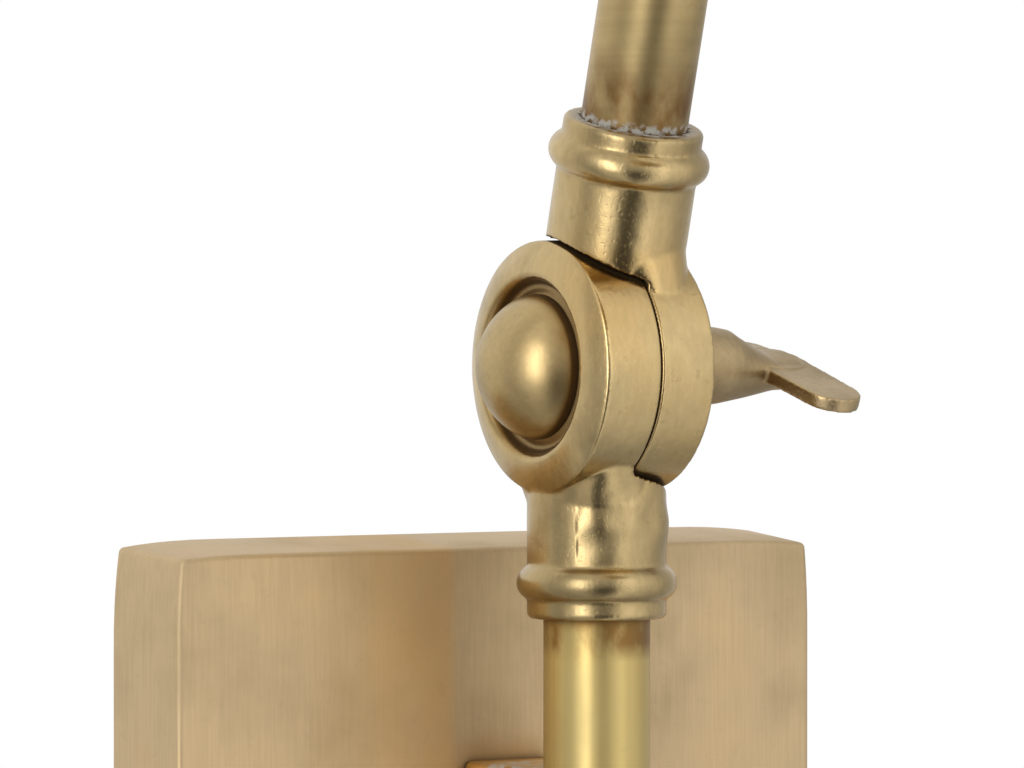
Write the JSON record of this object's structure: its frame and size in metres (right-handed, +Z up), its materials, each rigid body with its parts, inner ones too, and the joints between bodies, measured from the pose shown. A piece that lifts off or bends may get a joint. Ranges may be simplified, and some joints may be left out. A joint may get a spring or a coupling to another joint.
{
  "type": "wall lamp",
  "caption": "Brass wall lamp: thick rectangular plate, bracketed post, swivelling arm with disc knuckles and wing nuts, and a bell shade on a tilting head.",
  "frame": {"origin": "centre of the wall plate's back face, on the wall", "axes": "+Z up, +Y into the wall, -Y out into the room, +X to the right for someone facing the wall"},
  "size_m": [0.1668, 0.3172, 0.4536],
  "materials": {
    "plate_brass": "satin",
    "bracket_brass": "satin",
    "tube_brass": "aged polish",
    "cast_brass": "aged cast",
    "wing_brass": "aged cast",
    "cap_brass": "aged polish",
    "spun_brass": "satin",
    "key_brass": "aged",
    "plated_steel": "zinc plated",
    "earth_green": "painted",
    "phenolic": "moulded",
    "contact_brass": "plain",
    "rubber": "matt",
    "fibre": "matt",
    "opal_glass": "opal",
    "bulb_cap_metal": "bright"
  },
  "bodies": {
    "wall": {"wall_plate": "plate_brass", "mounting_strap": "plated_steel", "strap_grub_screws": "plated_steel", "earth_screw": "earth_green", "terminal_block": "phenolic", "terminal_clamps": "contact_brass", "bracket_bar": "bracket_brass", "wire_bush": "rubber", "post_tube": "tube_brass", "post_bush": "contact_brass", "post_end_cap": "cap_brass"},
    "swivel": {"lower_knuckle": "cast_brass", "swivel_nipple": "plated_steel", "swivel_washer": "plated_steel", "swivel_nut": "plated_steel", "lower_cap": "cap_brass", "lower_stud": "plated_steel"},
    "arm": {"arm_knuckle": "cast_brass", "arm_tube": "tube_brass", "arm_end_knuckle": "cast_brass", "arm_washer": "fibre", "end_washer": "fibre", "end_cap": "cap_brass", "end_stud": "plated_steel"},
    "lower_wing": {"wing_nut_lower": "wing_brass"},
    "upper_wing": {"wing_nut_upper": "wing_brass"},
    "head": {"head_knuckle": "cast_brass", "head_stem": "tube_brass", "socket_cup": "spun_brass", "lampholder_shell": "phenolic", "contact_sleeve": "contact_brass", "centre_contact": "contact_brass", "bulb_base": "bulb_cap_metal", "bulb_tip": "contact_brass", "bulb_glass": "opal_glass", "shade": "spun_brass", "shade_rim": "spun_brass", "shade_ring": "spun_brass"},
    "key": {"switch_key": "key_brass"}
  },
  "joints": [
    {"name": "arm_swing", "type": "hinge", "parent": "wall", "child": "swivel", "pos_m": [0, -0.0485, 0.0961], "axis": [0, 0, 1], "range_deg": [-75, 75]},
    {"name": "arm_tilt", "type": "hinge", "parent": "swivel", "child": "arm", "pos_m": [0, -0.0485, 0.0961], "axis": [1, 0, 0], "range_deg": [-15, 75]},
    {"name": "lower_wing_turn", "type": "hinge", "parent": "swivel", "child": "lower_wing", "pos_m": [0, -0.0485, 0.0961], "axis": [1, 0, 0], "continuous": true},
    {"name": "head_tilt", "type": "hinge", "parent": "arm", "child": "head", "pos_m": [0, -0.12333, 0.36592], "axis": [1, 0, 0], "range_deg": [-100, 4]},
    {"name": "upper_wing_turn", "type": "hinge", "parent": "arm", "child": "upper_wing", "pos_m": [0, -0.12333, 0.36592], "axis": [1, 0, 0], "continuous": true},
    {"name": "switch_turn", "type": "hinge", "parent": "head", "child": "key", "pos_m": [0, -0.17807, 0.33681], "axis": [1, 0, 0], "continuous": true}
  ]
}
